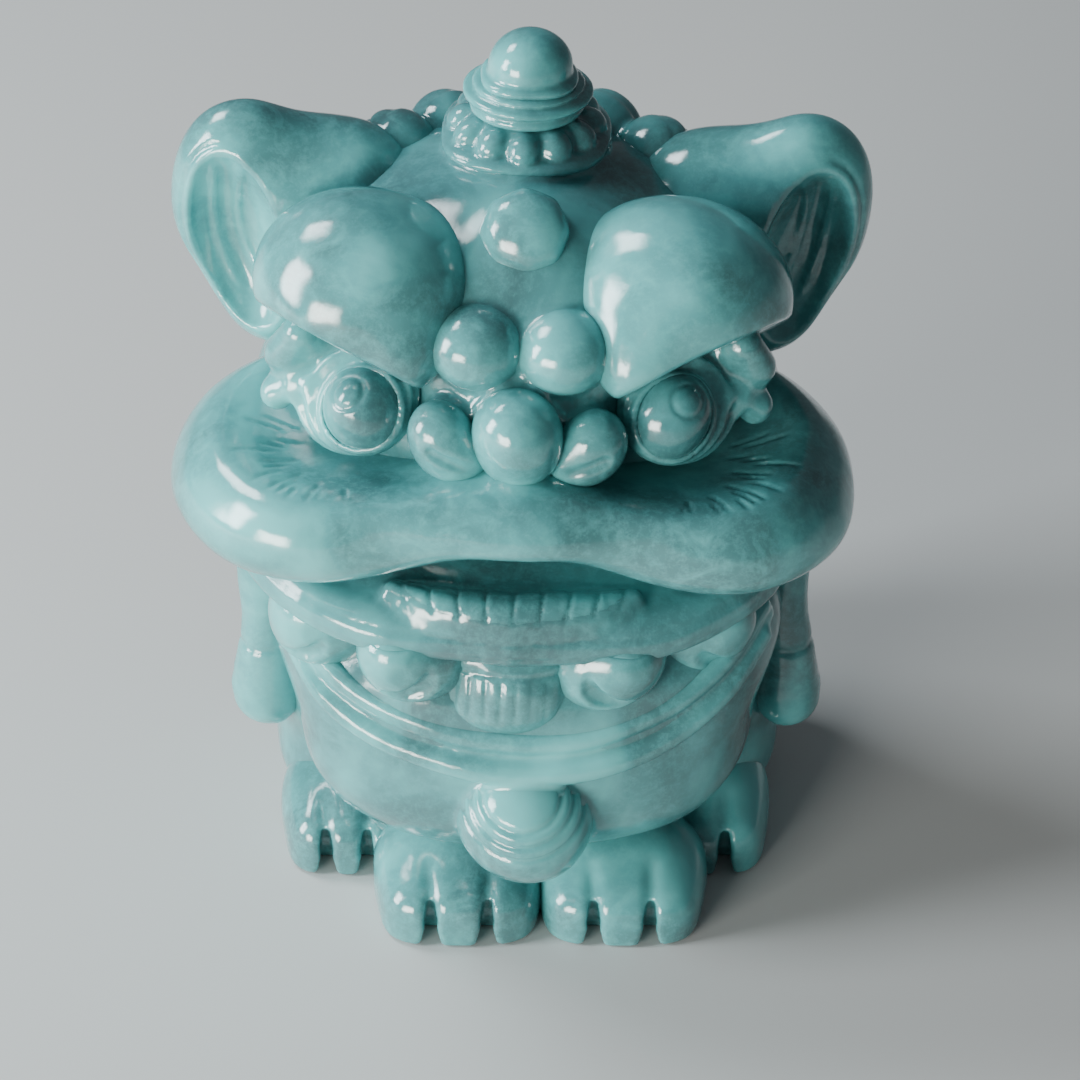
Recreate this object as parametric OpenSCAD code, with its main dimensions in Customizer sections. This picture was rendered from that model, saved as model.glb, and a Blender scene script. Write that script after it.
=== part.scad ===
// Carved jade lion: a sitting lion with a large lion-dance head, wide upper
// lip, ruff of beads, collar with a bell, and four paws.
//
// Frame: +Z up, front of the lion towards -Y, origin under the middle of the
// figure on the plane that the paws stand on. Left and right are the lion's
// own, so left is +X. Every ornament is a whole solid, and the larger mass
// behind it has a pocket of the same shape, so that they meet face to face.

/* [Head] */
// Width across the upper lip
muzzle_w = 26.8; // [24:0.2:29]
// Sideways tilt of the head, towards the lion's left
head_tilt = 2; // [0:0.5:3]
// Diameter of each eyeball
eye_d = 3.4; // [3.2:0.1:4.2]
// Distance between the eye centres
eye_gap = 11.6; // [11.2:0.1:13]
// Diameter of the middle nose ball
nose_d = 3.5; // [3:0.1:4]
// Height of each ear from its root to its tip
ear_h = 10.2; // [8.5:0.1:11]
// Distance between the outer edges of the ears
ear_span = 27.4; // [26:0.2:29]
// Diameter of the round mirror on the forehead
mirror_d = 3.5; // [2.8:0.1:4]
// Number of notches along the lower teeth
tooth_notches = 7; // [5:1:9]

/* [Horn] */
// Widest diameter of the petal ring under the horn
ring_d = 6.3; // [6:0.1:7.2]
// Diameter of the flat bun between the ring and the dome
bun_d = 5.1; // [4.6:0.1:5.4]
// Diameter of the dome at the horn's top
dome_d = 3.3; // [3:0.1:3.8]
// Backward lean of the horn
horn_lean = 0; // [0:1:12]

/* [Body] */
// Distance between the outer sides of the hind paws
stance_w = 19.6; // [19:0.2:22]
// Diameter of the bell on the collar
bell_d = 5.5; // [4.6:0.1:5.8]
// Diameter of each bead in the ruff
bead_d = 2.6; // [2.4:0.1:3]
// Thickness of the collar band
collar_t = 1.9; // [1.4:0.1:2.2]
// Number of balls along the spine
spine_balls = 4; // [3:1:5]

/* [Hidden] */

LEFT = 1;
RIGHT = -1;
fine = 18;
coarse = 16;
small = 14;
crown = [0, 0, 31];
jade = [0.40, 0.66, 0.64];
jade_light = [0.52, 0.75, 0.74];
jade_dark = [0.27, 0.48, 0.48];

lip_x = muzzle_w / 2;
eye_r = eye_d / 2;
eye_at = [eye_gap / 2, -7.0, 24.5];
lid_t = 0.5;
lid_edge = 0.9;
nose_r = nose_d / 2;
nose_at = [0, -8.9, 25];
nostril_r = 0.7 * nose_r;
nostril_at = [nose_r + nostril_r - 0.03, -8.55, 24.55];
bridge_r = 0.94 * nose_r;
bridge_at = [bridge_r + 0.03, -7.0, 27.5];
mirror_at = [0, -4.9, 31.4];
mirror_lean = 48;
ear_x = ear_span / 2 - 3.1;
ear_z = 23.1 + ear_h / 2;
horn_at = [0, 1.4, 32.5];
bead_r = bead_d / 2;
bead_inner_at = [4.3, -8.8, 14.5];
bead_outer_at = [7.9, -6.7, 14.8];
tassel_at = [0, -9.4, 13.2];
bell_r = bell_d / 2;
bell_at = [0, -9.7, 6.75];
paw_front_at = [3.35, -6.7, 0];
front_paws_shift = 0.6;
paw_hind_at = [stance_w / 2 - 2.3, -2.2, 0];
collar_r = collar_t / 2;
trunk_at = [0, 1.3, 10];
trunk_size = [20.6, 17.4, 18];

// Points along the collar's right half, from the cheek to the middle.
collar_path = [[9.4, -5.7, 13.2], [8, -7.6, 11.8], [5.8, -9.2, 10.6], [2.6, -10.1, 9.9], [0, -10.4, 9.6]];
// Points along the lower lip's half, from the mouth's corner to the middle.
lip_path = [[10.8, -3.8, 17.2], [9, -6.7, 16.3], [5.6, -8.9, 15.9], [0, -9.8, 15.8]];

// ---------------------------------------------------------------- helpers

// A smooth egg of the given size, turned about its own middle.
module egg(at, size, turn = [0, 0, 0]) {
    translate(at) rotate(turn) hull() scale(size / 2) sphere(r = 1, $fn = coarse);
}

// A round bar through a list of points, with a radius at each point.
module bar(points, radii) {
    for (i = [0 : len(points) - 2]) {
        hull() {
            translate(points[i]) sphere(r = radii[i], $fn = small);
            translate(points[i + 1]) sphere(r = radii[i + 1], $fn = small);
        }
    }
}

// Puts a shape that is drawn for the left on either side.
module on_side(side) {
    if (side == LEFT) children();
    else mirror([1, 0, 0]) children();
}

// Puts a shape in the head, which tilts about a point at its crown.
module in_head() {
    translate(crown) rotate([0, head_tilt, 0]) translate(-crown) children();
}

// Keeps what stands above the table.
module above_table() {
    intersection() {
        children();
        translate([-20, -20, 0]) cube([40, 40, 60]);
    }
}

// ---------------------------------------------------------------- head ornaments

// Turns a profile about the line of sight of an eye.
module turned_at_eye(side) {
    in_head() on_side(side) translate(eye_at) rotate([62, 0, 20])
        rotate_extrude($fn = fine)
            intersection() {
                translate([0, -10]) square([10, 20]);
                children();
            }
}

module lid_disc() {
    intersection() {
        circle(r = eye_r + lid_t, $fn = fine);
        translate([0, -10]) square([10, 10 + lid_edge]);
    }
}

module eyeball(side) {
    turned_at_eye(side) circle(r = eye_r, $fn = fine);
}

// The lid is a cup round the eyeball, open at the front.
module eyelid_form(side) {
    turned_at_eye(side) difference() {
        lid_disc();
        circle(r = eye_r, $fn = fine);
    }
}

// The eyeball and its lid together, for the pocket that holds them.
module eye_form(side) {
    turned_at_eye(side) {
        lid_disc();
        circle(r = eye_r, $fn = fine);
    }
}

module nose_ball() {
    in_head() translate(nose_at) sphere(r = nose_r, $fn = fine);
}

module nostril_form(side) {
    in_head() on_side(side) translate(nostril_at) sphere(r = nostril_r, $fn = fine);
}

module bridge_ball(side) {
    in_head() on_side(side) translate(bridge_at) sphere(r = bridge_r, $fn = fine);
}

module mirror_form() {
    in_head() translate(mirror_at) rotate([mirror_lean, 0, 0]) rotate_extrude($fn = fine)
        intersection() {
            translate([0, -1.1]) circle(r = mirror_d * 0.55, $fn = fine);
            translate([0, -0.9]) square([mirror_d / 2, 3]);
        }
}

module in_horn() {
    in_head() translate(horn_at) rotate([-horn_lean, 0, 0]) children();
}

module ring_form() {
    in_horn() rotate_extrude($fn = fine)
        polygon([[0, -1.7], [ring_d / 2 - 0.6, -1.7], [ring_d / 2 - 0.3, -0.8], [ring_d / 2, -0.2],
                 [ring_d / 2 - 0.1, 0.3], [ring_d / 2 - 0.6, 0.8], [0, 0.8]]);
}

module bun_form() {
    in_horn() translate([0, 0, 0.8]) rotate_extrude($fn = fine)
        intersection() {
            translate([bun_d / 2 - 0.9, 0.6]) union() {
                circle(r = 0.9, $fn = fine);
                translate([-bun_d, -0.9]) square([bun_d, 1.8]);
            }
            square([bun_d, 1.2]);
        }
}

module dome_form() {
    in_horn() translate([0, 0, 2]) rotate_extrude($fn = fine)
        intersection() {
            translate([0, 0.4]) circle(r = dome_d / 2, $fn = fine);
            square([dome_d, 2 * dome_d]);
        }
}

// ---------------------------------------------------------------- head masses

module brow_form(side) {
    in_head() on_side(side) {
        hull() {
            egg([5.9, -4.0, 28.3], [8.8, 7.6, 7.4]);
            translate([4.1, -8.1, 26.6]) sphere(r = 1.0, $fn = coarse);
            translate([8.9, -4.9, 27.0]) sphere(r = 1.2, $fn = coarse);
        }
    }
}

module ear_form(side) {
    in_head() on_side(side) difference() {
        hull() {
            egg([ear_x, 1.3, ear_z + 1.1], [6.2, 4.6, ear_h - 2.4], [0, 12, 0]);
            egg([ear_x - 0.2, 0.6, 24.8], [3.6, 3.6, 3.6]);
            egg([6.6, 1.6, 29.2], [4.6, 4.6, 4.6]);
        }
        egg([ear_x + 0.5, -1.4, ear_z + 0.2], [3.6, 3.8, ear_h - 3.6], [0, 10, -20]);
    }
}

module muzzle_form() {
    in_head() for (side = [LEFT, RIGHT]) on_side(side)
        hull() {
            egg([1.5, -5.4, 21.9], [10, 13.2, 4.6]);
            egg([lip_x - 5.6, -4.9, 20.6], [11.2, 13, 6.8], [0, 10, 0]);
        }
}

module jaw_form() {
    in_head() {
        hull() for (side = [LEFT, RIGHT]) on_side(side)
            for (i = [0 : len(lip_path) - 1])
                translate(lip_path[i]) sphere(r = i == 0 ? 0.9 : 1.1, $fn = small);
        hull() for (side = [LEFT, RIGHT]) on_side(side) {
            translate([6, -4, 16.4]) sphere(r = 2, $fn = small);
            translate([4.4, -7.9, 16.3]) sphere(r = 1.2, $fn = small);
        }
    }
}

// The gum that the teeth are cut into.
module gum_form() {
    in_head() bar([for (i = [-2 : 2]) [2.4 * i, -9.95 + 0.16 * i * i, 16.8 + 0.07 * i * i]],
                  [for (i = [-2 : 2]) 0.8]);
}

module tooth_gaps() {
    in_head() for (i = [0 : tooth_notches - 1]) {
        a = (i - (tooth_notches - 1) / 2) / (tooth_notches - 1);
        translate([9.4 * a, -11.2, 16.85]) rotate([0, 0, 40 * a]) cube([0.3, 1.8, 1.4]);
    }
}

module mouth_hollow() {
    in_head() egg([0, -7.3, 18.3], [10.6, 6, 2.6]);
}

module head_form() {
    in_head() {
        egg([0, 0.4, 26], [18.6, 15.2, 11.8]);
        egg([0, 0.4, 20.6], [21.4, 16.4, 12.6]);
        hull() {
            egg([0, -3.6, 28.6], [8, 5, 5]);
            egg([0, -5.2, 24.2], [15, 6, 5]);
        }
    }
}

// ---------------------------------------------------------------- ruff and tassels

module bead(at, side) {
    in_head() on_side(side) translate(at) sphere(r = bead_r, $fn = fine);
}

module cup_form(at, side) {
    in_head() on_side(side)
        egg(at + [0.1, 0.35, -0.7], [bead_d + 2, bead_d + 1.2, bead_d + 1.5], [0, -14, 0]);
}

module tassel_form() {
    in_head() hull() {
        egg(tassel_at + [0, 0.1, -0.3], [4.7, 3, 3.6]);
        egg(tassel_at + [0, 0.5, 1.2], [4.2, 2.4, 2.6]);
    }
}

module cheek_tassel_form(side) {
    on_side(side)
        bar([[10.9, -0.9, 14.6], [10.7, -1, 10], [10.9, -1, 6.6], [10.6, -1, 5.7]], [0.9, 1.0, 1.5, 1.1]);
}

// ---------------------------------------------------------------- mane

// A row of curls round the back of the head: count, half angle, radius of the
// row, height and size of a curl.
module curls(count, half_angle, row, height, size, deep = 1) {
    in_head() for (i = [0 : count - 1]) {
        a = -half_angle + 2 * half_angle * i / (count - 1);
        translate([row * sin(a), 1.4 + deep * row * cos(a), height]) sphere(r = size, $fn = small);
    }
}

module curls_top() curls(5, 66, 5.6, 30.4, 1.5, 0.74);
module curls_middle() curls(6, 68, 8.4, 27.6, 1.65, 0.75);
module curls_low() curls(7, 72, 9.6, 23.6, 1.75, 0.66);
module curls_neck() curls(6, 64, 9.3, 19.8, 1.75, 0.78);

// ---------------------------------------------------------------- body

module torso_form() {
    above_table() hull() {
        egg(trunk_at, trunk_size);
        egg([0, 0.9, 2.2], [18.4, 16, 8]);
    }
}

module chest_form() {
    hull() {
        egg([0, -3.6, 8.8], [18.6, 13.4, 11.4]);
        egg([0, -2.4, 12.4], [20.6, 14, 8]);
    }
}

module collar_form() {
    for (side = [LEFT, RIGHT]) on_side(side) bar(collar_path, [for (p = collar_path) collar_r]);
}

// The bell is turned: a ball with a cap and two raised bands.
module bell_form() {
    translate(bell_at) rotate([12, 0, 0]) rotate_extrude($fn = fine) {
        intersection() {
            union() {
                circle(r = bell_r, $fn = fine);
                translate([0, -0.5]) square([bell_r + 0.12, 0.45]);
                translate([0, 0.35]) square([bell_r + 0.06, 0.4]);
                translate([0, bell_r - 0.6]) square([bell_r * 0.55, 1.1]);
            }
            translate([0, -bell_r]) square([2 * bell_r, 3 * bell_r]);
        }
    }
}

module toe(at, size) {
    hull() {
        translate(at + [0, 0, size]) sphere(r = size, $fn = small);
        translate(at + [0, 3.4, size + 0.5]) sphere(r = size, $fn = small);
        translate(at + [0, 0.2, 0]) cylinder(r = size * 0.92, h = 0.6, $fn = small);
    }
}

module paw_form(at, side, width, toes) {
    size = width / (2 * toes) + 0.12;
    above_table() on_side(side) translate(at) {
        for (i = [0 : toes - 1]) {
            x = (i - (toes - 1) / 2) * (width - 2 * size) / (toes - 1);
            toe([x, -3.4 + size + 0.12 * x * x, 0], size);
        }
        hull() {
            egg([0, 0.6, 1.9], [width * 0.96, 5.2, 4.6]);
            translate([0, 0.4, 0]) cylinder(d = width * 0.86, h = 0.8, $fn = small);
        }
    }
}

// The front paws stand a little to the left of the middle.
module front_paw_form(side) translate([front_paws_shift, 0, 0]) paw_form(paw_front_at, side, 6.4, 3);
module hind_paw_form(side) paw_form(paw_hind_at, side, 5, 3);

module haunch_form(side) {
    above_table() on_side(side) hull() {
        egg([7.9, 2.4, 6.4], [6, 10.4, 10.4]);
        egg([7.9, 1.8, 2], [5.6, 8.6, 4.4]);
    }
}

// Balls that sit half out of the back, down its middle.
module spine_form() {
    for (i = [0 : spine_balls - 1]) {
        down = 5.6 - 2.1 * i;
        deep = sqrt(1 - pow(2 * down / trunk_size[2], 2)) * trunk_size[1] / 2;
        translate(trunk_at + [0, deep, down]) sphere(r = 1, $fn = small);
    }
}

// The tail rises from the rump and curls over in a flame.
module tail_form() {
    bar([[0, 8.6, 2.2], [0, 10.2, 4.6], [0, 10.3, 7.4], [0, 10, 9.4]], [1.5, 1.7, 1.5, 0.6]);
    for (side = [LEFT, RIGHT]) on_side(side)
        bar([[0.4, 9.2, 3], [1.9, 10, 5], [2, 9.8, 7]], [1.2, 1.1, 0.5]);
}

// ---------------------------------------------------------------- seated parts

module head_ornaments() {
    mirror_form();
    ring_form();
    nose_ball();
    for (side = [LEFT, RIGHT]) {
        eye_form(side);
        nostril_form(side);
        bridge_ball(side);
    }
}

module ruff_ornaments() {
    tassel_form();
    for (side = [LEFT, RIGHT]) {
        bead(bead_inner_at, side);
        bead(bead_outer_at, side);
        cup_form(bead_inner_at, side);
        cup_form(bead_outer_at, side);
    }
}

module mane() {
    curls_top();
    curls_middle();
    curls_low();
    curls_neck();
}

module head() {
    color(jade) difference() {
        head_form();
        head_ornaments();
        muzzle_form();
        jaw_form();
        mouth_hollow();
        mane();
        ruff_ornaments();
        for (side = [LEFT, RIGHT]) {
            ear_form(side);
            brow_form(side);
            cheek_tassel_form(side);
        }
    }
}

module muzzle() {
    color(jade_light) difference() {
        muzzle_form();
        head_ornaments();
        mouth_hollow();
        for (side = [LEFT, RIGHT]) brow_form(side);
    }
}

module lower_jaw() {
    color(jade) difference() {
        jaw_form();
        muzzle_form();
        gum_form();
    }
}

module lower_teeth() {
    color(jade_light) difference() {
        gum_form();
        muzzle_form();
        tooth_gaps();
    }
}

module ear(side) {
    color(jade_light) difference() {
        ear_form(side);
        brow_form(side);
        mane();
    }
}

module brow(side) {
    color(jade_light) difference() {
        brow_form(side);
        eye_form(side);
        bridge_ball(side);
        mirror_form();
    }
}

module eyelid(side) {
    color(jade_light) eyelid_form(side);
}

module ruff_cup(at, side) {
    color(jade_light) difference() {
        cup_form(at, side);
        bead(at, side);
        jaw_form();
        tassel_form();
        muzzle_form();
    }
}

// An outer cup also gives way to the inner cup beside it.
module ruff_cup_outer(side) {
    color(jade_light) difference() {
        ruff_cup(bead_outer_at, side);
        cup_form(bead_inner_at, side);
        cheek_tassel_form(side);
    }
}

module chin_tassel() {
    color(jade_light) difference() {
        tassel_form();
        jaw_form();
    }
}

module cheek_tassel(side) {
    color(jade_light) difference() {
        cheek_tassel_form(side);
        muzzle_form();
    }
}

module collar() {
    color(jade_light) difference() {
        collar_form();
        bell_form();
        ruff_ornaments();
        jaw_form();
    }
}

module chest() {
    color(jade) difference() {
        chest_form();
        collar_form();
        bell_form();
        ruff_ornaments();
        jaw_form();
        head_form();
        for (side = [LEFT, RIGHT]) front_paw_form(side);
        for (side = [LEFT, RIGHT]) cheek_tassel_form(side);
    }
}

module haunch(side) {
    color(jade) difference() {
        haunch_form(side);
        chest_form();
        collar_form();
        hind_paw_form(side);
        front_paw_form(side);
        cheek_tassel_form(side);
        tail_form();
        head_form();
        mane();
    }
}

module hind_paw(side) {
    color(jade_light) difference() {
        hind_paw_form(side);
        front_paw_form(side);
        chest_form();
        cheek_tassel_form(side);
    }
}

module torso() {
    color(jade) difference() {
        torso_form();
        chest_form();
        collar_form();
        head_form();
        jaw_form();
        muzzle_form();
        mane();
        spine_form();
        tail_form();
        ruff_ornaments();
        for (side = [LEFT, RIGHT]) {
            front_paw_form(side);
            hind_paw_form(side);
            haunch_form(side);
            cheek_tassel_form(side);
        }
    }
}

module spine() {
    color(jade_light) spine_form();
}

module tail() {
    color(jade_light) difference() {
        tail_form();
        spine_form();
    }
}

// ---------------------------------------------------------------- drawing

torso();
chest();
collar();
color(jade_light) bell_form();  // bell
color(jade_light) front_paw_form(LEFT);  // front_paw_left
color(jade_light) front_paw_form(RIGHT);  // front_paw_right
hind_paw(LEFT);  // hind_paw_left
hind_paw(RIGHT);  // hind_paw_right
haunch(LEFT);  // haunch_left
haunch(RIGHT);  // haunch_right
spine();  // spine_balls
tail();
head();
muzzle();
lower_jaw();
lower_teeth();
ear(LEFT);  // ear_left
ear(RIGHT);  // ear_right
brow(LEFT);  // brow_left
brow(RIGHT);  // brow_right
color(jade_dark) eyeball(LEFT);  // eye_left
color(jade_dark) eyeball(RIGHT);  // eye_right
eyelid(LEFT);  // eyelid_left
eyelid(RIGHT);  // eyelid_right
color(jade_light) nose_ball();  // nose_tip
color(jade_light) nostril_form(LEFT);  // nostril_left
color(jade_light) nostril_form(RIGHT);  // nostril_right
color(jade_light) bridge_ball(LEFT);  // nose_bridge_left
color(jade_light) bridge_ball(RIGHT);  // nose_bridge_right
color(jade_light) mirror_form();  // forehead_mirror
color(jade) ring_form();  // horn_ring
color(jade_light) bun_form();  // horn_bun
color(jade_light) dome_form();  // horn_dome
chin_tassel();
ruff_cup(bead_inner_at, LEFT);  // ruff_cup_inner_left
ruff_cup(bead_inner_at, RIGHT);  // ruff_cup_inner_right
ruff_cup_outer(LEFT);  // ruff_cup_outer_left
ruff_cup_outer(RIGHT);  // ruff_cup_outer_right
color(jade) bead(bead_inner_at, LEFT);  // ruff_bead_inner_left
color(jade) bead(bead_inner_at, RIGHT);  // ruff_bead_inner_right
color(jade) bead(bead_outer_at, LEFT);  // ruff_bead_outer_left
color(jade) bead(bead_outer_at, RIGHT);  // ruff_bead_outer_right
cheek_tassel(LEFT);  // cheek_tassel_left
cheek_tassel(RIGHT);  // cheek_tassel_right
color(jade) curls_top();  // mane_curls_top
color(jade) curls_middle();  // mane_curls_middle
color(jade) curls_low();  // mane_curls_low
color(jade) curls_neck();  // mane_curls_neck
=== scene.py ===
"""A small sitting lion carved from one piece of polished jade.

Each piece of the figure is a closed mesh. Its shape is a signed distance in
millimetres, made of eggs and bars that are blended, carved and engraved, and
`skin` turns that distance into a surface. Places and sizes come from the boxes
of the CAD nodes. The head leans a little to one side, so its pieces are drawn
upright and then tilted. Left is the lion's own left, which is +X, and a right
hand piece is the left one mirrored.
"""

import math
from functools import reduce

import bpy
import numpy as np
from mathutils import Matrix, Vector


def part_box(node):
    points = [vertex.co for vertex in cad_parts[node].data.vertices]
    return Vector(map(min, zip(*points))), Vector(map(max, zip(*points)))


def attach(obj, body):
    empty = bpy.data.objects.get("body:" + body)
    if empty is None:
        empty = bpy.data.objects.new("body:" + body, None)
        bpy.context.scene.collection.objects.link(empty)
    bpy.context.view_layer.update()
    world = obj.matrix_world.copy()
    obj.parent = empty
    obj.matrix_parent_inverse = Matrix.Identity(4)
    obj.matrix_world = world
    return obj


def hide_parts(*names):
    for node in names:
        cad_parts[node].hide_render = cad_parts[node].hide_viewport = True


MM = 0.001
# Grid steps of the meshes in millimetres.
FINE = 0.12
MEDIUM = 0.15
BROAD = 0.19
HAND_CUT_DEPTH = 0.07

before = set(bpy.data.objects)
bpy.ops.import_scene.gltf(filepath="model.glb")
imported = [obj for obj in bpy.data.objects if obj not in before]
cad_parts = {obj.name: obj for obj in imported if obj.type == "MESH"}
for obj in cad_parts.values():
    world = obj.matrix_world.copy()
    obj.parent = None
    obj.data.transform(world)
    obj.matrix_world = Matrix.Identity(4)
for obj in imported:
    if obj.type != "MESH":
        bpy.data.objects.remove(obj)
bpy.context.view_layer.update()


# ---------------------------------------------------------------- measuring


def corners(node):
    """Lowest and highest corner of a CAD node, in millimetres."""
    lo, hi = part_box(node)
    return np.array(lo) / MM, np.array(hi) / MM


def middle(node):
    """Middle of a CAD node's box, in millimetres."""
    lo, hi = corners(node)
    return (lo + hi) / 2


def head_tilt():
    """Angle of the head's sideways lean, and the height that it leans about."""
    left, right = middle("eye_left"), middle("eye_right")
    angle = math.atan2(right[2] - left[2], left[0] - right[0])
    centre = (left + right) / 2
    return angle, centre[2] - centre[0] / math.tan(angle)


TILT, PIVOT = head_tilt()


def lean(points, angle):
    """Points turned about the Y direction at the pivot."""
    turned = np.array(points, float)
    x, z = turned[:, 0].copy(), turned[:, 2] - PIVOT
    turned[:, 0] = x * math.cos(angle) + z * math.sin(angle)
    turned[:, 2] = z * math.cos(angle) - x * math.sin(angle) + PIVOT
    return turned


def measure(node, in_head=True):
    """Middle and size of a CAD node, upright if it is part of the head."""
    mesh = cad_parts[node].data
    points = np.empty(len(mesh.vertices) * 3, np.float32)
    mesh.vertices.foreach_get("co", points)
    points = points.reshape(-1, 3) / MM
    if in_head:
        points = lean(points, -TILT)
    lo, hi = points.min(0), points.max(0)
    return (lo + hi) / 2, hi - lo


def width(node):
    """Size in X of a CAD node of the head."""
    _, size = measure(node)
    return size[0]


# ---------------------------------------------------------------- distances


def length(*parts):
    """Length of a vector with those parts."""
    return np.sqrt(sum(part * part for part in parts))


def local(p, at, turn=(0, 0, 0)):
    """Points p as seen from a place that is turned by X, Y, Z degrees."""
    q = [p[i] - at[i] for i in range(3)]
    if not any(turn):
        return q
    (cx, sx), (cy, sy), (cz, sz) = [(math.cos(a), math.sin(a)) for a in map(math.radians, turn)]
    about_x = np.array([[1, 0, 0], [0, cx, -sx], [0, sx, cx]])
    about_y = np.array([[cy, 0, sy], [0, 1, 0], [-sy, 0, cy]])
    about_z = np.array([[cz, -sz, 0], [sz, cz, 0], [0, 0, 1]])
    m = (about_z @ about_y @ about_x).astype(np.float32)
    return [sum(m[j][i] * q[j] for j in range(3)) for i in range(3)]


def egg(p, at, size, turn=(0, 0, 0)):
    """An ellipsoid of that size."""
    x, y, z = local(p, at, turn)
    a, b, c = (s / 2 for s in size)
    near = length(x / a, y / b, z / c)
    slope = length(x / a**2, y / b**2, z / c**2)
    return near * (near - 1) / np.maximum(slope, 1e-5)


def pebble(p, at, size, power=3):
    """An ellipsoid with squarer shoulders."""
    q = local(p, at)
    reach = sum(np.abs(q[i] / (size[i] / 2)) ** power for i in range(3)) ** (1 / power)
    return (reach - 1) * min(size) / 2


def ball(p, at, radius):
    """Distance to a ball."""
    return length(*local(p, at)) - radius


def bar(p, start, end, r_start, r_end):
    """A round bar between two points."""
    start, end = np.array(start, float), np.array(end, float)
    along = end - start
    q = local(p, start)
    t = sum(q[i] * along[i] for i in range(3)) / along.dot(along)
    t = np.clip(t, 0, 1)
    return length(*[q[i] - t * along[i] for i in range(3)]) - (r_start + (r_end - r_start) * t)


def rope(p, points, radii):
    """A round bar through many points."""
    count = len(points) - 1
    parts = (bar(p, points[i], points[i + 1], radii[i], radii[i + 1]) for i in range(count))
    return reduce(np.minimum, parts)


def blend(a, b, r):
    """Both shapes, with a soft fillet between them."""
    h = np.maximum(r - np.abs(a - b), 0) / r
    return np.minimum(a, b) - h * h * r / 4


def blend_all(parts, r):
    """All the shapes, each blended softly into the next."""
    return reduce(lambda a, b: blend(a, b, r), parts)


def common(a, b, r):
    """Where both shapes are, with a rounded edge."""
    return -blend(-a, -b, r)


def carve(a, b, r):
    """Shape a without shape b, with a rounded edge."""
    return common(a, -b, r)


def line(d, away, depth, width):
    """Shape d with a line engraved where away is zero."""
    return d + depth * np.exp(-((away / width) ** 2))


def fillet(host, neighbour, r):
    """The host with a soft rise toward a neighbour, which hides the end of the rise."""
    rise = np.maximum(blend(host, neighbour, r) + 0.03, -neighbour - 0.4)
    return np.minimum(host, np.maximum(rise, host - 1.2 * r))


def spiral(u, v, pitch):
    """Signed distance across the lines of a spiral, in the plane of u and v."""
    turns = length(u, v) / pitch - np.arctan2(v, u) / (2 * math.pi)
    return (turns % 1 - 0.5) * pitch


def ramp(value, start, end):
    """0 below start, 1 above end, and smooth between."""
    t = np.clip((value - start) / (end - start), 0, 1)
    return t * t * (3 - 2 * t)


def smooth_path(points, steps=5):
    """More points on a curve through the given ones."""
    pts = np.array(points, float)
    pts = np.vstack([2 * pts[0] - pts[1], pts, 2 * pts[-1] - pts[-2]])
    result = []
    for a, b, c, d in zip(pts, pts[1:], pts[2:], pts[3:]):
        for t in np.arange(steps) / steps:
            bend = (2 * a - 5 * b + 4 * c - d) * t**2 + (3 * b - a - 3 * c + d) * t**3
            result.append(b + 0.5 * ((c - a) * t + bend))
    result.append(pts[-2])
    return np.array(result)


# ---------------------------------------------------------------- meshing


def edge_crossings(d, axis):
    """Grid edges along an axis that cross the surface, and where."""
    low = d[tuple(slice(None, -1) if i == axis else slice(None) for i in range(3))]
    high = d[tuple(slice(1, None) if i == axis else slice(None) for i in range(3))]
    crossing = (low < 0) != (high < 0)
    at = np.argwhere(crossing)
    a, b = low[crossing], high[crossing]
    points = at.astype(np.float32)
    points[:, axis] += a / (a - b)
    return at, points, a < 0


def skin(field, lo, hi, step):
    """Vertices and faces of the surface where field is zero, between lo and hi."""
    lo, hi = np.array(lo, float), np.array(hi, float)

    def bounded(p):
        sides = (np.maximum(lo[i] - p[i], p[i] - hi[i]) for i in range(3))
        return np.maximum(field(p), reduce(np.maximum, sides))

    axes = [np.arange(lo[i] - 1.7 * step, hi[i] + 2.7 * step, step, dtype=np.float32) for i in range(3)]
    shape = tuple(len(a) for a in axes)
    grid = [a.reshape([-1 if i == j else 1 for j in range(3)]) for i, a in enumerate(axes)]
    d = np.ascontiguousarray(np.broadcast_to(bounded(grid), shape))
    cells, points, corners_of_faces = [], [], []
    for axis in range(3):
        u, v = (axis + 1) % 3, (axis + 2) % 3
        at, crossing, outward = edge_crossings(d, axis)
        ring = []
        for du, dv in ((0, 0), (-1, 0), (-1, -1), (0, -1)):
            cell = at.copy()
            cell[:, u] += du
            cell[:, v] += dv
            ring.append(np.ravel_multi_index(cell.T, shape))
            points.append(crossing)
        cells.extend(ring)
        ring = np.array(ring).T
        corners_of_faces.append(np.where(outward[:, None], ring, ring[:, ::-1]))
    cells, points = np.concatenate(cells), np.concatenate(points)
    used, number = np.unique(cells, return_inverse=True)
    count = np.bincount(number)
    verts = np.stack([np.bincount(number, points[:, i]) / count for i in range(3)], axis=1)
    verts = verts * step + [a[0] for a in axes]
    faces = np.searchsorted(used, np.concatenate(corners_of_faces))
    return settle(bounded, verts, step), faces


def settle(field, verts, step):
    """Vertices moved onto the surface itself."""
    nudge = 0.2 * step
    for _ in range(2):
        d = field(verts.T)
        slope = np.empty_like(verts)
        for i in range(3):
            moved = verts.copy()
            moved[:, i] += nudge
            slope[:, i] = (field(moved.T) - d) / nudge
        shift = slope * (d / np.maximum((slope**2).sum(1), 0.2))[:, None]
        far = np.linalg.norm(shift, axis=1)
        shift *= np.minimum(1, 0.5 * step / np.maximum(far, 1e-9))[:, None]
        verts = verts - shift
    return verts


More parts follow.
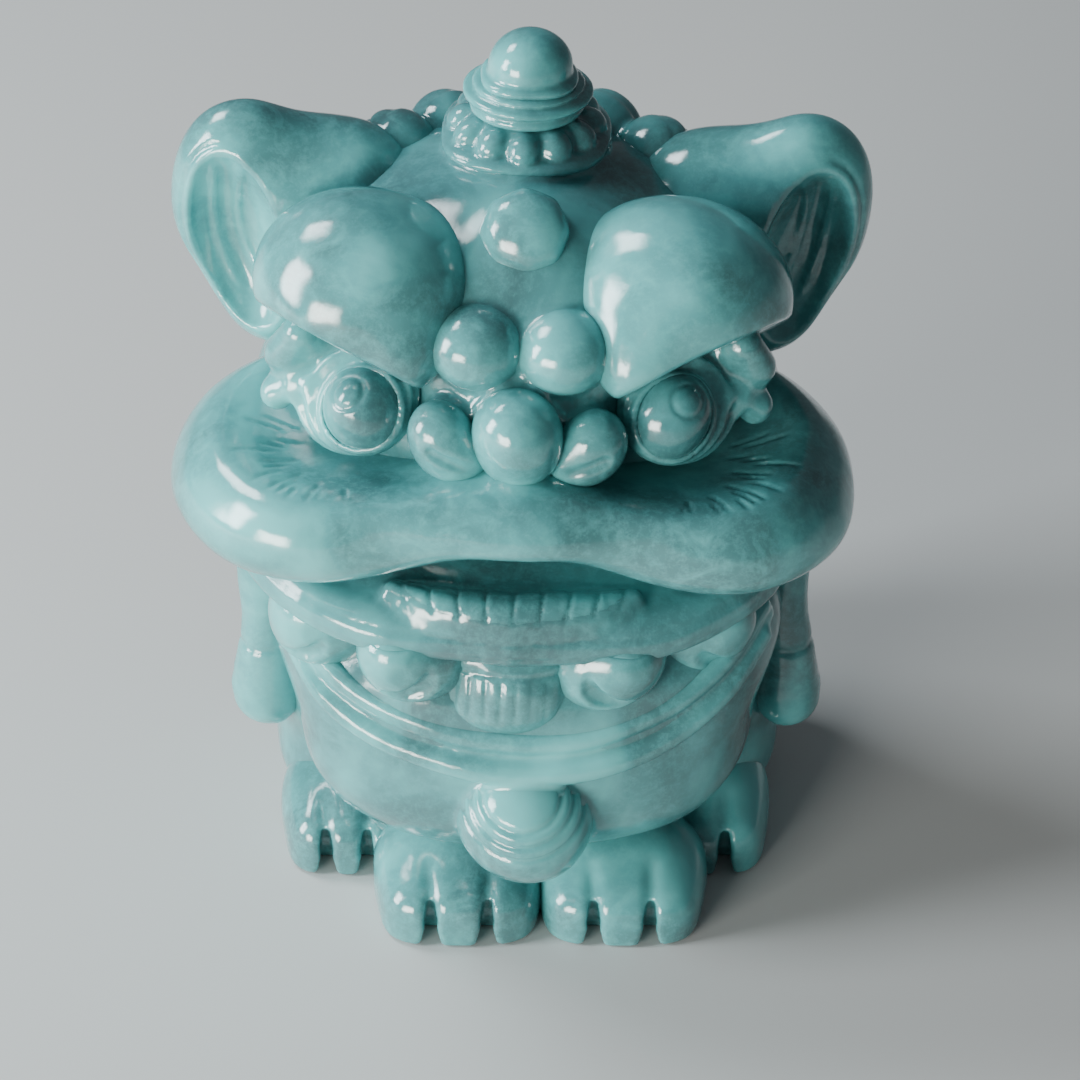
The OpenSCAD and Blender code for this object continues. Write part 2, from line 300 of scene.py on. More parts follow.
def hand_cut(verts):
    """A slow unevenness, as in a shape that was ground by hand."""
    x, y, z = verts.T
    waves = np.stack([
        np.sin(0.61 * y + 0.37 * z + 0.4) + 0.5 * np.sin(1.27 * z - 0.83 * y + 1.1),
        np.sin(0.53 * x - 0.42 * z + 1.9) + 0.5 * np.sin(1.13 * x + 0.71 * z + 0.3),
        np.sin(0.47 * x + 0.59 * y + 2.6) + 0.5 * np.sin(1.21 * y - 0.67 * x + 2.0),
    ], axis=1)
    fade = np.clip(verts[:, 2:3] / 3, 0, 1)
    return verts + HAND_CUT_DEPTH * waves * fade


def piece(name, nodes, slot, field, box, step, in_head=True, mirror_at=None):
    """Adds one mesh that stands for the CAD nodes."""
    step = step * 1
    verts, faces = skin(field, *box, step)
    if mirror_at is not None:
        verts = verts * [-1, 1, 1] + [2 * mirror_at, 0, 0]
        faces = faces[:, ::-1]
    if in_head:
        verts = lean(verts, TILT)
    verts = hand_cut(verts) * MM
    mesh = bpy.data.meshes.new(name)
    mesh.from_pydata(verts.tolist(), [], faces.tolist())
    mesh.polygons.foreach_set("use_smooth", [True] * len(mesh.polygons))
    mesh.materials.append(MATERIALS[slot])
    shown = bpy.data.objects.new(name, mesh)
    bpy.context.scene.collection.objects.link(shown)
    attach(shown, "root")
    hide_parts(*nodes)


def around(node, in_head=True, margin=0.8):
    """The box round a CAD node, with a margin."""
    mid, size = measure(node, in_head)
    return mid - size / 2 - margin, mid + size / 2 + margin


def add_single(node, slot, field, step, in_head=True, margin=0.8):
    """The piece that stands for one CAD node."""
    piece(node + "_carved", [node], slot, field, around(node, in_head, margin), step, in_head)


def add_pair(stem, slot, field, step, in_head=True, margin=0.8):
    """The left piece, and the same one mirrored about the middle of the pair."""
    left, right = stem + "_left", stem + "_right"
    box = around(left, in_head, margin)
    (left_mid, _), (right_mid, _) = measure(left, in_head), measure(right, in_head)
    piece(left + "_carved", [left], slot, field, box, step, in_head)
    piece(right + "_carved", [right], slot, field, box, step, in_head, (left_mid[0] + right_mid[0]) / 2)


# ---------------------------------------------------------------- jade


def add_node(tree, kind, place, **values):
    """A shader node; each value sets the input of that name, or else the property."""
    node = tree.nodes.new(kind)
    node.location = place
    for key, value in values.items():
        if key in node.inputs:
            node.inputs[key].default_value = value
        else:
            setattr(node, key, value)
    return node


def noise(tree, place, scale, detail, roughness, distortion=0.0):
    node = add_node(tree, "ShaderNodeTexNoise", place)
    node.inputs["Scale"].default_value = scale
    node.inputs["Detail"].default_value = detail
    node.inputs["Roughness"].default_value = roughness
    node.inputs["Distortion"].default_value = distortion
    return node


def colour_ramp(tree, place, stops):
    """A ramp through stops, each a position and a colour."""
    node = add_node(tree, "ShaderNodeValToRGB", place)
    elements = node.color_ramp.elements
    while len(elements) < len(stops):
        elements.new(0.5)
    for element, (position, colour) in zip(elements, stops):
        element.position = position
        element.color = (*colour, 1)
    return node


def mix_colour(tree, place, factor, a, b):
    """Colour a where the factor is 0, and b where it is 1."""
    node = add_node(tree, "ShaderNodeMix", place, data_type="RGBA")
    for socket, value in ((node.inputs[0], factor), (node.inputs[6], a), (node.inputs[7], b)):
        if isinstance(value, bpy.types.NodeSocket):
            tree.links.new(value, socket)
        else:
            socket.default_value = (*value, 1)
    return node.outputs[2]


def share_of(tree, place, source, low, high, most):
    """A factor that rises from 0 to `most` while the source goes from low to high."""
    mask = colour_ramp(tree, place, ((low, (0, 0, 0)), (high, (1, 1, 1))))
    tree.links.new(source, mask.inputs[0])
    share = add_node(tree, "ShaderNodeMath", (place[0] + 250, place[1]), operation="MULTIPLY")
    share.inputs[1].default_value = most
    tree.links.new(mask.outputs[0], share.inputs[0])
    return share.outputs[0]


def stone_colour(tree, place, deep, clear, pale):
    """Wide clouds, with pale wisps and pale grains over them."""
    clouds = noise(tree, (-900, 300), 0.16, 3.0, 0.5, 0.8)
    veins = noise(tree, (-900, 0), 0.55, 6.0, 0.62, 1.6)
    grains = noise(tree, (-900, -300), 2.2, 7.0, 0.80)
    for source in (clouds, veins, grains):
        tree.links.new(place, source.inputs["Vector"])
    body = colour_ramp(tree, (-600, 300), ((0.36, deep), (0.52, clear), (0.68, pale)))
    tree.links.new(clouds.outputs[0], body.inputs[0])
    wisps = share_of(tree, (-600, 0), veins.outputs[0], 0.50, 0.72, 0.40)
    specks = share_of(tree, (-600, -300), grains.outputs[0], 0.46, 0.70, 0.42)
    colour = mix_colour(tree, (-100, 200), wisps, body.outputs[0], pale)
    return mix_colour(tree, (150, 200), specks, colour, pale)


def stone_polish(tree, place, shader):
    """A polish with faint scratches, over slow dents that bend the reflections."""
    dents = noise(tree, (-900, -900), 0.42, 1.5, 0.45)
    scratches = noise(tree, (-900, -600), 1.1, 8.0, 0.75, 0.4)
    for source in (dents, scratches):
        tree.links.new(place, source.inputs["Vector"])
    polish = add_node(tree, "ShaderNodeMapRange", (-100, -300))
    for key, value in (("From Min", 0.3), ("From Max", 0.7), ("To Min", 0.05), ("To Max", 0.15)):
        polish.inputs[key].default_value = value
    tree.links.new(scratches.outputs[0], polish.inputs["Value"])
    tree.links.new(polish.outputs[0], shader.inputs["Roughness"])
    waves = add_node(tree, "ShaderNodeBump", (50, -600), Strength=0.5, Distance=0.25 * MM)
    bump = add_node(tree, "ShaderNodeBump", (300, -300), Strength=0.14, Distance=0.06 * MM)
    tree.links.new(dents.outputs[0], waves.inputs["Height"])
    tree.links.new(scratches.outputs[0], bump.inputs["Height"])
    tree.links.new(waves.outputs[0], bump.inputs["Normal"])
    for socket in ("Normal", "Coat Normal"):
        tree.links.new(bump.outputs[0], shader.inputs[socket])


def jade(name, deep, clear, pale):
    """Cloudy polished stone that runs from a deep to a pale colour."""
    material = bpy.data.materials.new(name)
    material.use_nodes = True
    tree = material.node_tree
    tree.nodes.clear()
    out = add_node(tree, "ShaderNodeOutputMaterial", (900, 0))
    shader = add_node(tree, "ShaderNodeBsdfPrincipled", (600, 0))
    tree.links.new(shader.outputs[0], out.inputs["Surface"])
    at = add_node(tree, "ShaderNodeTexCoord", (-1400, 0))
    scaled = add_node(tree, "ShaderNodeMapping", (-1200, 0))
    scaled.inputs["Scale"].default_value = (1 / MM, 1 / MM, 1 / MM)
    tree.links.new(at.outputs["Object"], scaled.inputs["Vector"])
    colour = stone_colour(tree, scaled.outputs[0], deep, clear, pale)
    tree.links.new(colour, shader.inputs["Base Color"])
    stone_polish(tree, scaled.outputs[0], shader)
    finish = {"IOR": 1.6, "Subsurface Weight": 0.4, "Subsurface Radius": (0.55, 1.0, 0.95),
              "Subsurface Scale": 0.8 * MM, "Coat Weight": 0.35, "Coat Roughness": 0.03}
    for key, value in finish.items():
        shader.inputs[key].default_value = value
    return material


# Copies of one jade: the body pieces get a darker copy as painted shade, and the raised pieces a
# lighter copy as painted light where they stand out.
MATERIALS = {
    "jade_body": jade("jade_body", (0.058, 0.145, 0.152), (0.074, 0.235, 0.245), (0.115, 0.39, 0.395)),
    "jade_raised": jade("jade_raised", (0.068, 0.19, 0.197), (0.090, 0.315, 0.322), (0.15, 0.50, 0.50)),
    # The eyes get a darker copy still, as painted shade under the brow.
    "jade_eyes": jade("jade_eyes", (0.05, 0.135, 0.142), (0.065, 0.22, 0.228), (0.11, 0.37, 0.375)),
}


# ---------------------------------------------------------------- head masses

EYE, EYE_SIZE = measure("eye_left")
EYE_RADIUS = EYE_SIZE[0] / 2
SIGHT = (62, 0, 20)
GAZE = np.array([0.40, -0.50, 0.77])
LASHES = 17
PETALS = 12
CURL_PITCH = 0.62
# Each row of curls: the node, how many, and half the angle that it spans.
CURL_ROWS = (("mane_curls_top", 5, 66), ("mane_curls_middle", 6, 68),
             ("mane_curls_low", 7, 72), ("mane_curls_neck", 6, 64))


def two_sided(p, soft=0.3):
    """Points folded to the left half, without a crease in the middle."""
    return np.sqrt(p[0] * p[0] + soft * soft), p[1], p[2]


def muzzle_mass(p):
    """Two lobes joined across the middle, hollowed above for the eye."""
    mid, size = measure("muzzle")
    q = two_sided(p, 0.6)
    centre = egg(q, mid + [0, -0.25, 0.95], (15, size[1] - 0.2, 4.7))
    lobe = egg(q, mid + [7.65, 0.3, 0.05], (11.7, size[1], size[2] - 0.2), (0, 8, 0))
    d = blend(centre, lobe, 3.0)
    valley = egg(q, EYE + [0.6, 1.0, 1.95], (15, 16, 9))
    return carve(d, valley, 1.0)


def brow_mass(p):
    """A dome that is drawn out to a point over the inner corner of the eye."""
    mid, size = measure("brow_left")
    x, y, z = local(p, mid + [0.1, 0.5, 0.1])
    dome = egg((x, y, z), (0, 0, 0), (size[0] + 0.1, 8.0, size[2] + 0.3))
    ahead = (-0.40 * x - 0.83 * y - 0.39 * z) / np.maximum(length(x, y, z), 0.5)
    return dome - 1.1 * np.exp((ahead - 1) / 0.08)


def ear_mass(p):
    """A leaf on a root, with a lobe below."""
    mid, size = measure("ear_left")
    leaf = egg(p, mid + [1.5, -0.05, 0.6], (6.4, 4.6, size[2] - 1.2), (0, 11, 0))
    root = egg(p, mid + [-1.9, 0.3, 1.2], (6.4, 4.8, 5.4), (0, -20, 0))
    low = egg(p, mid + [0.6, -0.6, -2.9], (4.3, 3.9, 4.8))
    return blend(blend(leaf, root, 1.6), low, 1.4)


def horn_place(p, node):
    """Points seen from the middle of a node on the horn, upright."""
    ring, _ = measure("horn_ring")
    dome, _ = measure("horn_dome")
    mid, _ = measure(node)
    back = math.degrees(math.atan2(dome[1] - ring[1], dome[2] - ring[2]))
    return local(p, mid, (-back, 0, 0))


def ring_mass(p):
    """The flat disc under the petals."""
    wide = width("horn_ring")
    return egg(horn_place(p, "horn_ring"), (0, 0, -0.2), (wide + 0.2, wide + 0.2, 2.2))


def curl_places(node, count, half_angle):
    """Centre, outward angle and radius of each curl in a row."""
    mid, size = measure(node)
    radius = size[2] / 2
    widest, last = [math.radians(half_angle * f) for f in (1, 1 if count % 2 else 1 / (count - 1))]
    row = (size[0] / 2 - radius) / math.sin(widest)
    nearest = 1 if count % 2 else math.cos(last)
    deep = (size[1] - 2 * radius) / (row * (nearest - math.cos(widest)))
    back = mid[1] + size[1] / 2 - radius - deep * row * nearest
    for i in range(count):
        a = math.radians(-half_angle + 2 * half_angle * i / (count - 1))
        yield (row * math.sin(a), back + deep * row * math.cos(a), mid[2] - 0.2 * radius), a, radius


def head_mass(p):
    """Crown, jowl and the bridge of the nose."""
    crown = egg(p, (0, 0.4, EYE[2] + 1.5), (18.6, 15.2, 11.8))
    jowl = egg(p, (0, 0.4, EYE[2] - 3.9), (21.2, 16.2, 12.4))
    bridge = bar(p, (0, -3.4, EYE[2] + 3.8), (0, -5.3, EYE[2] - 0.2), 2.5, 3.1)
    return blend(blend(crown, jowl, 2.5), bridge, 2.5)


def head_field(p):
    q = two_sided(p, 0.05)
    d = fillet(head_mass(p), bridge_field(q), 0.3)
    d = fillet(d, nostril_field(q), 0.6)
    d = fillet(d, nose_tip_field(p), 0.6)
    return fillet(d, ring_mass(p), 0.5)


def muzzle_field(p):
    """The lip, with short strokes cut round the eye like lashes."""
    d = muzzle_mass(p)
    x, y, _ = two_sided(p, 0.05)
    out, fore = x - EYE[0], y - EYE[1]
    near_eye = 1 - ramp(-fore, 2.9, 3.5)
    for i in range(LASHES):
        angle = math.radians(34 - 7.6 * i)
        slant = angle - 0.25
        start = 2.9 + 0.5 * math.sin(2.1 * i)
        at = (start * math.cos(angle), start * math.sin(angle))
        across = (out - at[0]) * math.sin(slant) - (fore - at[1]) * math.cos(slant)
        along = (out - at[0]) * math.cos(slant) + (fore - at[1]) * math.sin(slant)
        reach = 1.7 + 0.5 * math.sin(1.7 * i + 0.6)
        gate = ramp(along, 0, 0.4) * (1 - ramp(along, reach - 0.5, reach)) * near_eye
        d = line(d, across, 0.075 * gate, 0.085)
    return d


def brow_field(p):
    """The dome, cut off below by a slope that gives the eye its frown."""
    mid, _ = measure("brow_left")
    d = brow_mass(p)
    x, y, z = local(p, mid + [-1.8, -3.6, -1.9])
    return common(d, 0.46 * x - 0.52 * y - 0.72 * z, 0.2)


def ear_field(p):
    """A thick leaf, hollow on the outer half, with folds inside."""
    mid, size = measure("ear_left")
    d = ear_mass(p)
    place, turn = mid + [2.2, -2.8, 0.0], (0, 10, -16)
    hollow = egg(p, place, (3.9, 4.6, size[2] - 1.6), turn)
    rim = ramp(p[0] - mid[0], 2.4, 3.2)
    d = line(d, hollow - 0.42, 0.10 * rim, 0.11)
    d = carve(d, hollow, 0.18)
    x, _, z = local(p, place, turn)
    inside = ramp(0.5 - hollow, 0, 0.4)
    for offset, bend in ((-0.75, 0.050), (0.1, 0.035)):
        fold = x - offset + bend * z * z
        d = line(d, fold, -0.16 * inside * (1 - ramp(np.abs(z), 2.2, 3.2)), 0.2)
    return d


def eye_field(p):
    """An egg of an eye, with the pupil cut as a ring."""
    d = egg(p, EYE, (1.92 * EYE_RADIUS, 2 * EYE_RADIUS, 2.16 * EYE_RADIUS), (0, 32, 0))
    q = local(p, EYE)
    ahead = sum(q[i] * GAZE[i] for i in range(3))
    aside = np.sqrt(np.maximum(sum(c * c for c in q) - ahead * ahead, 0))
    ring = length(aside - 0.62, np.minimum(ahead, 0))
    d = line(d, ring, 0.08, 0.11)
    return line(d, aside, -0.05 * ramp(ahead, 0.5, 1.0), 0.4)


def eyelid_field(p):
    """Nested cups round the eyeball, each set back from the one inside it."""
    x, y, z = local(p, EYE, SIGHT)
    cups = []
    for i in range(3):
        away = length(x - 0.28 * i, y - 0.26 * i, z) - (EYE_RADIUS + 0.16 + 0.33 * i)
        cups.append(common(away, z - (0.72 - 0.36 * i), 0.15))
    curl = bar(p, EYE + [2.7, 1.9, 2.1], EYE + [3.2, 2.1, 1.1], 0.8, 0.9)
    drop = bar(p, EYE + [2.4, 1.1, 0.3], EYE + [3.4, 1.8, -0.5], 0.35, 0.75)
    d = blend(blend(blend_all(cups, 0.1), curl, 0.8), drop, 0.6)
    return carve(d, length(x, y, z) - (EYE_RADIUS - 0.05), 0.1)


def nose_tip_field(p):
    """The round tip, with a softer mass under it."""
    mid, size = measure("nose_tip")
    d = egg(p, mid + [0, 0, -0.1], size * [1.0, 1.0, 1.08])
    return blend(d, egg(p, mid + [0, 0.6, -1.0], (3.0, 3.0, 2.8)), 0.8)


def nostril_field(p):
    """A ball on a wing of the nose, with a slit below it."""
    mid, size = measure("nostril_left")
    wing = egg(p, mid + [-0.4, 0.1, -0.75], (3.1, 2.7, 2.6), (0, -20, 0))
    d = blend(ball(p, mid, size[0] / 2), wing, 0.5)
    slit = bar(p, mid + [0.35, -1.2, -0.25], mid + [-1.3, -1.25, -1.05], 0, 0)
    return line(d, slit, 0.32, 0.2)


def bridge_field(p):
    mid, size = measure("nose_bridge_left")
    return egg(p, mid + [-0.02, 0.0, 0.05], size * [1.14, 1.12, 1.0])


def mirror_field(p):
    """A low dome with eight soft sides."""
    mid, size = measure("forehead_mirror")
    q = local(p, mid + [0, 0.05, 0.05], (48, 0, 0))
    dome = egg(q, (0, 0, -0.35), (size[0] + 0.4, size[0] + 0.4, 3.1))
    angles = [math.radians(22.5 + 45 * i) for i in range(4)]
    sides = [np.abs(q[0] * math.cos(a) + q[1] * math.sin(a)) - 0.48 * size[0] for a in angles]
    return common(dome, reduce(lambda a, b: common(a, b, 0.15), sides), 0.5)


def ring_field(p):
    """A flat rim with a circle of petals on it."""
    x, y, z = horn_place(p, "horn_ring")
    wide = width("horn_ring")
    rim = pebble((x, y, z), (0, 0, 0), (wide + 0.3, wide + 0.3, 0.9), power=2.6)
    core = egg((x, y, z), (0, 0, 0.3), (wide - 0.9, wide - 0.9, 2.4))
    stem = egg((x, y, z), (0, 0, -0.6), (wide - 0.6, wide - 0.6, 2.4))
    d = blend(blend(rim, core, 0.15), stem, 0.3)
    turn = 2 * math.pi / PETALS
    out, angle = length(x, y), np.arctan2(y, x)
    nearest = (angle + turn / 2) % turn - turn / 2
    q = (out * np.cos(nearest), out * np.sin(nearest), z)
    petal = egg(q, (wide / 2 - 0.75, 0, 0.55), (1.5, 1.32, 1.1), (0, 25, 0))
    return blend(d, petal, 0.12)


def bun_field(p):
    """Two round tiers with a line cut between them."""
    x, y, z = horn_place(p, "horn_bun")
    wide = width("horn_bun")
    out = length(x, y)
    upper = pebble((out, 0, z), (0, 0, 0.15), (wide, 9, 1.1), power=2.4)
    lower = pebble((out, 0, z), (0, 0, -0.5), (wide - 0.6, 9, 0.9), power=2.4)
    d = blend(upper, lower, 0.1)
    return line(d, length(z - 0.33, np.maximum(0, 1.6 - out)), 0.07, 0.10)


def dome_field(p):
    """A dome on a thin foot."""
    x, y, z = horn_place(p, "horn_dome")
    wide = width("horn_dome")
    cap = egg((x, y, z), (0, 0, -0.5), (wide, wide, 0.94 * wide))
    foot = pebble((x, y, z), (0, 0, -0.95), (wide + 0.5, wide + 0.5, 0.75), power=2.5)
    return blend(cap, foot, 0.12)


def curls_field(node, count, half_angle):
    """Balls with a spiral cut into the outer side of each."""
    def field(p):
        curls = []
        for at, a, radius in curl_places(node, count, half_angle):
            x, y, z = local(p, at)
            across, ahead = x * math.cos(a) - y * math.sin(a), x * math.sin(a) + y * math.cos(a)
            cut = spiral(across, z, CURL_PITCH)
            curls.append(line(length(x, y, z) - 1.12 * radius, cut, 0.16 * ramp(ahead, 0.1, 0.5), 0.12))
        return blend_all(curls, 0.15)
    return field


# ---------------------------------------------------------------- mouth and ruff


def mirrored_path(points, steps):
    """A smooth path from the left end to the middle, and on to the right end."""
    path = smooth_path(points, steps)
    return np.vstack([path, path[-2::-1] * [-1, 1, 1]])


def jaw_path():
    """The line of the lower lip."""
    mid, size = measure("lower_jaw")
    half = size[0] / 2 - 0.9
    front = mid[1] - size[1] / 2 + 1.1
    low = mid[2] - size[2] / 2 + 1.05
    return mirrored_path([(half, front + 6.0, low + 1.6), (0.84 * half, front + 3.0, low + 0.7),
                          (0.52 * half, front + 0.85, low + 0.2), (0, front, low)], 5)


def gum_path():
    """The line of the gum, inside the lip."""
    mid, size = measure("lower_teeth")
    half = size[0] / 2 - 0.9
    return mirrored_path([(half, mid[1] + 1.0, mid[2] + 0.2), (0.6 * half, mid[1] + 0.3, mid[2] - 0.08),
                          (0, mid[1] - 0.05, mid[2] - 0.2)], 4)


JAW_PATH = jaw_path()
GUM_PATH = gum_path()
TOOTH_LINES = 9
TOOTH_GAP = 1.02
THREAD_GAP = 0.6


def jaw_field(p):
    """The lower lip as a thick rope, and the floor of the mouth behind it."""
    mid, _ = measure("lower_jaw")
    lip = rope(p, JAW_PATH, [0.98] * len(JAW_PATH))
    floor = egg(p, mid + [0, 1.0, -0.3], (18, 9.5, 3.0))
    d = fillet(blend(lip, floor, 0.5), gum_field(p), 0.8)
    crease = rope(p, JAW_PATH + [0, -0.95, 0.1], [0.0] * len(JAW_PATH)) - 0.42
    return line(d, crease, 0.05, 0.12)


def gum_field(p):
    """A rounded ridge with short lines cut down from its top."""
    mid, _ = measure("lower_teeth")
    d = rope(p, GUM_PATH, 0.15 + 0.75 * np.sin(np.linspace(0.15, math.pi - 0.15, len(GUM_PATH))))
    up = p[2] - mid[2]
    for i in range(TOOTH_LINES):
        at = TOOTH_GAP * (i - (TOOTH_LINES - 1) / 2)
        away = p[0] - at - 0.14 * at * up
        d = line(d, away, 0.08 * ramp(up, -0.15, 0.15), 0.08)
    return d


def tassel_field(p):
    """A short rounded fringe: a flat band on top and threads below."""
    mid, size = measure("chin_tassel")
    fringe = egg(p, mid + [0, 0.1, -0.25], size * [1.06, 1.06, 1.06])
    band = pebble(p, mid + [0, 0.35, 0.75], (size[0] - 0.1, size[1] - 0.5, 2.6), power=3)
    d = blend(fringe, band, 0.25)
    x, _, z = local(p, mid)
    threads = (x / THREAD_GAP % 1 - 0.5) * THREAD_GAP
    strength = 0.03 + 0.05 * (1 - ramp(x, -0.4, 0.8))
    span = (1 - ramp(z, 0.75, 1.0)) * ramp(z, -1.4, -0.6)
    return line(line(d, threads, strength * span, 0.10), z - 1.05, 0.07, 0.10)


def bead_field(stem):
    """A low dome that sits in the lobe."""
    def field(p):
        mid, size = measure(f"ruff_bead_{stem}_left")
        return egg(p, mid + [0.15, -0.35, 0.2], size * [1.08, 1.1, 1.04])
    return field


def cup_field(stem, turn):
    """A round lobe, with a crescent cut beside the bead on the side of the chin."""
    bead = bead_field(stem)

    def field(p):
        _, size = measure(f"ruff_cup_{stem}_left")
        at, _ = measure(f"ruff_bead_{stem}_left")
        d = egg(p, at + [-0.5, 0.1, -0.4], size * [1.02, 1.0, 1.0] + [0, 0, 0.6], (0, -14, 0))
        d = fillet(d, bead(p), 0.7)
        angles = np.radians(np.linspace(165, 295, 9))
        arc = [(1.7 * math.cos(a), -1.45, 1.55 * math.sin(a)) for a in angles]
        thickness = 0.1 + 0.42 * np.sin(np.linspace(0, math.pi, len(arc)))
        return carve(d, rope(local(p, at, (0, 0, turn)), arc, thickness), 0.12)
    return field


# ---------------------------------------------------------------- body

HAUNCH_PITCH = 2.3
BELL_MIDDLE, BELL_SIZE = measure("bell", False)
BELL_CENTRE = BELL_MIDDLE - [0, 0, 0.37]


def trunk(p):
    """Shoulders and lower back, without the thighs."""
    mid, _ = measure("torso", False)
    upper = egg(p, mid + [0, -0.1, 1.6], (20.4, 17.4, 18))
    lower = egg(p, mid + [0, -0.5, -6.2], (18.0, 16, 8.5))
    return blend(upper, lower, 3.0)


def chest_mass(p):
    """A square bib under rounded shoulders."""
    mid, _ = measure("chest", False)
    bib = pebble(p, mid + [0, -0.7, -0.9], (18.6, 13.4, 11.4), power=2.6)
    yoke = egg(p, mid + [0, 0.37, 2.9], (20.6, 14, 8))
    return blend(bib, yoke, 2.5)


def haunch_mass(p):
    """A thigh that widens into the heel."""
    mid, size = measure("haunch_left", False)
    thigh = egg(p, mid + [0, 0, 0.6], (size[0] + 0.1, size[1], size[2] - 0.8))
    foot = egg(p, mid + [0, -0.6, -3.7], (5.6, 8.8, 4.6))
    return blend(thigh, foot, 1.5)


def on_table(d, p):
    """A flat sole at the height of the table."""
    return common(d, -p[2], 0.25)


def paw_field(node, spread):
    """A blocky paw with two wedges cut between its three toes."""
    def field(p):
        mid, size = measure(node, False)
        x, y, z = local(p, (mid[0], mid[1], 0))
        instep = egg((x, y, z), (0, 0.9, 1.0), (size[0] + 0.1, size[1] - 0.4, 5.7))
        toes = pebble((x, y, z), (0, -0.5, 0.5), (size[0] + 0.15, size[1] - 0.9, 4.2), power=3.6)
        d = blend(instep, toes, 1.4)
        for side in (-1, 1):
            away = np.abs(x - side * spread - 0.05 * side * (y + 2))
            notch = away - 0.42 + 0.20 * z
            depth = y + size[1] / 2 - 1.25 + 0.3 * z
            d = carve(d, np.maximum(np.maximum(notch, depth), z - 1.8), 0.25)
            shallow = 0.16 * (1 - ramp(y, -1.6, 0.0)) * ramp(z, 0.8, 1.3) * (1 - ramp(z, 2.4, 3.4))
            d = line(d, away, shallow, 0.34)
        return on_table(d, p)
    return field


def torso_field(p):
    """The trunk, with locks of fur cut down each side of the spine."""
    q = two_sided(p, 0.2)
    d = trunk(p)
    d = fillet(d, haunch_mass(q), 1.0)
    x, y, z = q
    for i in range(4):
        fold = z - 13.4 + 2.1 * i + 0.09 * (x - 1.5) ** 2 - 0.004 * x**3
        gate = ramp(y, 3.5, 5.5) * ramp(x, 1.6, 2.2) * (1 - ramp(x, 6.0, 8.0))
        d = line(d, fold, 0.24 * gate, 0.24)
    return on_table(d, p)


def chest_field(p):
    return fillet(chest_mass(p), bell_mass(p), 0.3)


def collar_path():
    """From the cheek down to the middle of the chest."""
    mid, size = measure("collar", False)
    half, front = size[0] / 2 - 0.95, mid[1] - size[1] / 2 + 0.95
    low = mid[2] - size[2] / 2 + 0.95
    ends = [(half, front + 4.5, low + 3.6), (0.85 * half, front + 2.7, low + 2.2),
            (0.61 * half, front + 1.2, low + 1.0), (0.28 * half, front + 0.3, low + 0.3),
            (0, front, low)]
    return smooth_path(ends, 4)


COLLAR_PATH = collar_path()


def collar_field(p):
    """A band with a bright ridge along each edge."""
    q = two_sided(p, 0.6)
    count = len(COLLAR_PATH)
    lower = rope(q, COLLAR_PATH + [0, -0.1, -0.35], np.linspace(0.5, 0.6, count))
    upper = rope(q, COLLAR_PATH + [0, 0.2, 0.95], np.linspace(0.45, 0.5, count))
    band = rope(q, COLLAR_PATH + [0, 0.55, 0.3], np.linspace(0.6, 0.65, count))
    d = blend(blend(lower, upper, 0.1), band, 0.25)
    return fillet(d, bell_mass(p), 0.4)


def bell_mass(p):
    """A ball, with a stub on top that leans back toward the collar."""
    body = ball(p, BELL_CENTRE, BELL_SIZE[0] / 2 - 0.1)
    cap = bar(p, BELL_CENTRE + [0, 0.5, 1.5], BELL_CENTRE + [0, 0.9, 2.3], 1.9, 1.75)
    return blend(body, cap, 0.3)


def bell_field(p):
    """Rings are cut round the upper half, and one round the rim."""
    d = bell_mass(p)
    q = local(p, BELL_CENTRE, (30, 0, -8))
    away = length(*q)
    polar = np.arccos(np.clip(q[2] / np.maximum(away, 1e-6), -1, 1))
    for angle, depth in ((36, 0.12), (49, 0.12), (62, 0.13), (104, 0.09)):
        d = line(d, (polar - math.radians(angle)) * away, depth, 0.13)
    return d


def haunch_field(p):
    """The thigh, with a large curl cut into its outer side."""
    mid, _ = measure("haunch_left", False)
    d = haunch_mass(p)
    x, y, z = local(p, mid + [0, 0.6, 1.2])
    gate = (1 - ramp(length(y, z), 3.2, 3.9)) * ramp(x, 0.8, 1.4)
    return on_table(line(d, spiral(-y, z, HAUNCH_PITCH), 0.22 * gate, 0.24), p)


def spine_field(p):
    """Four balls along the curve of the back."""
    mid, size = measure("spine_balls", False)
    balls = []
    for i in range(4):
        up = 5.6 - 2.1 * i
        back = 8.7 * math.sqrt(1 - (up / 9) ** 2)
        balls.append(egg(p, (mid[0], 1.3 + back, 10 + up), size[0] * np.array([1.1, 1, 0.94])))
    return blend_all(balls, 0.2)


def tail_field(p):
    """A flame of three locks, with lines that follow them."""
    mid, _ = measure("tail", False)
    q = two_sided(p, 0.1)
    tall = smooth_path([mid + [0, -0.9, -2.7], mid + [0, 0.7, -0.3], mid + [0, 0.9, 2.4],
                        mid + [0, 0.3, 4.4]], 4)
    short = smooth_path([mid + [0.4, -0.3, -1.9], mid + [1.9, 0.5, 0.1], mid + [2.2, 0.2, 2.6]], 4)
    share = np.linspace(0, 1, len(tall))
    d = rope(q, tall, np.interp(share, [0, 0.4, 1], [1.5, 1.75, 0.25]))
    share = np.linspace(0, 1, len(short))
    d = blend(d, rope(q, short, np.interp(share, [0, 0.4, 1], [1.1, 1.15, 0.2])), 0.25)
    for at in (0.0, 0.62):
        away = q[0] - at * (1 - 0.1 * (q[2] - mid[2]))
        d = line(d, away, 0.12 * ramp(q[1], 9.6, 10.2), 0.14)
    return d


def cheek_tassel_field(p):
    """A cord that ends in a drop, with a line cut above the drop."""
    mid, size = measure("cheek_tassel_left", False)
    top, low = size[2] / 2, -size[2] / 2
    places = smooth_path([mid + [0, 0.1, top - 0.9], mid + [-0.15, 0, 0.5], mid + [0.05, 0, low + 2.2],
                          mid + [-0.2, 0, low + 0.9]], 4)
    share = np.linspace(0, 1, len(places))
    d = rope(p, places, np.interp(share, [0, 0.35, 0.72, 1.0], [1.0, 1.0, 1.5, 0.75]))
    return line(d, p[2] - mid[2] - low - 4.6, 0.10, 0.16)


